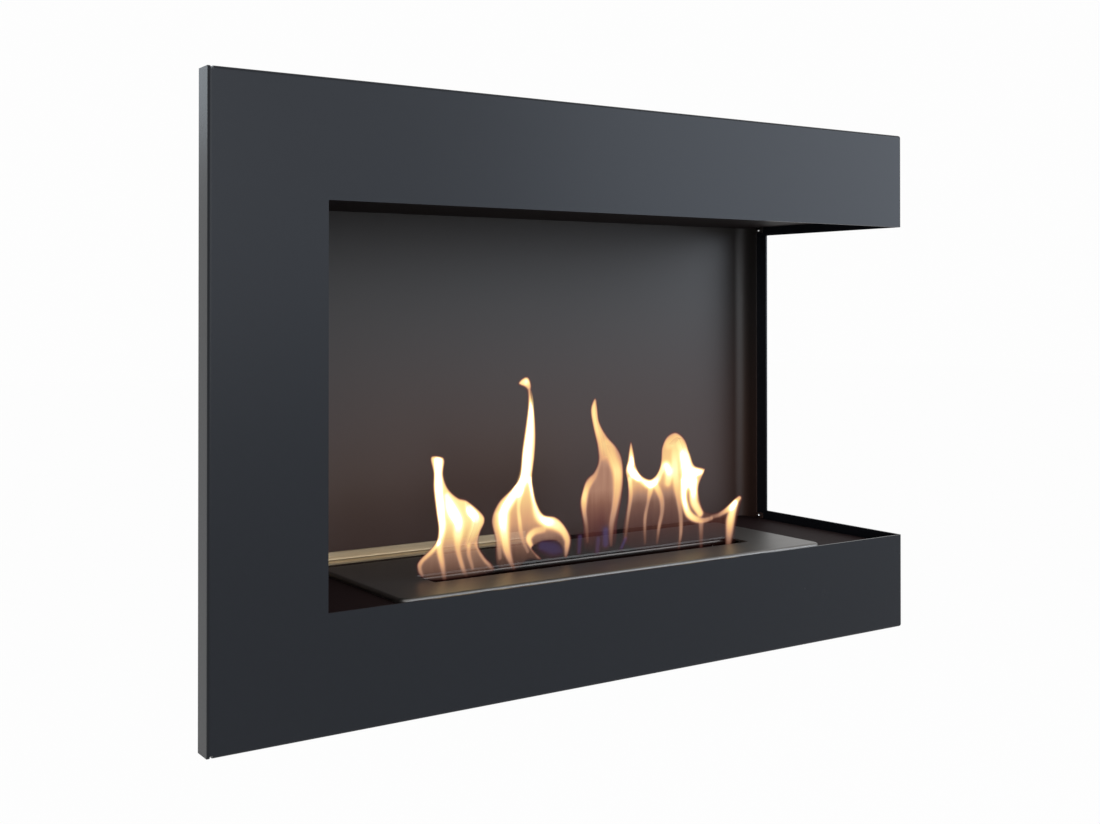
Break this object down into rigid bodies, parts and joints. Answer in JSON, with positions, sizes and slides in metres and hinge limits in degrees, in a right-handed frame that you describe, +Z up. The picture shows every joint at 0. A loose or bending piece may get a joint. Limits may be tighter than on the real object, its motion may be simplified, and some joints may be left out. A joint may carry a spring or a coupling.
{
  "type": "bioethanol fireplace",
  "caption": "Wall-hung corner bioethanol fireplace: folded steel frame open at the front and right, sheet-steel liner, lift-out burner with sliding damper, hanging rails.",
  "frame": {"origin": "middle of the underside of the overall box", "axes": "+X to the right along the front, +Y from the room towards the wall, +Z up"},
  "size_m": [0.584, 0.2, 0.4],
  "materials": {
    "frame_paint": "satin",
    "liner_paint": "satin",
    "hearth_paint": "satin",
    "burner_paint": "satin",
    "cover_steel": "satin",
    "bright_steel": "satin",
    "tank_steel": "satin",
    "rail_steel": "satin",
    "fastener_steel": "satin",
    "buffer_rubber": "matte",
    "ceramic_fibre": "matte"
  },
  "bodies": {
    "casing": {"front_frame": "frame_paint", "back_panel": "liner_paint", "left_panel": "liner_paint", "ceiling_panel": "liner_paint", "hearth_tray": "hearth_paint", "bottom_cover": "cover_steel", "top_cover": "cover_steel", "burner_stop": "bright_steel", "wall_rail": "rail_steel", "hanger_rail": "rail_steel", "wall_buffers": "buffer_rubber", "weld_studs": "fastener_steel", "ear_studs": "fastener_steel", "dome_nuts": "fastener_steel", "hanger_bolts": "fastener_steel", "hex_nuts": "fastener_steel"},
    "burner": {"burner_plate": "burner_paint", "burner_tank": "tank_steel", "damper_guides": "burner_paint", "ceramic_wool": "ceramic_fibre", "wool_screen": "tank_steel"},
    "damper": {"damper": "burner_paint"}
  },
  "joints": [
    {"name": "burner_lift", "type": "slide", "parent": "casing", "child": "burner", "axis": [0, 0, 1], "range_m": [0, 0.08]},
    {"name": "damper_slide", "type": "slide", "parent": "burner", "child": "damper", "axis": [0, -1, 0], "range_m": [0, 0.038]}
  ]
}
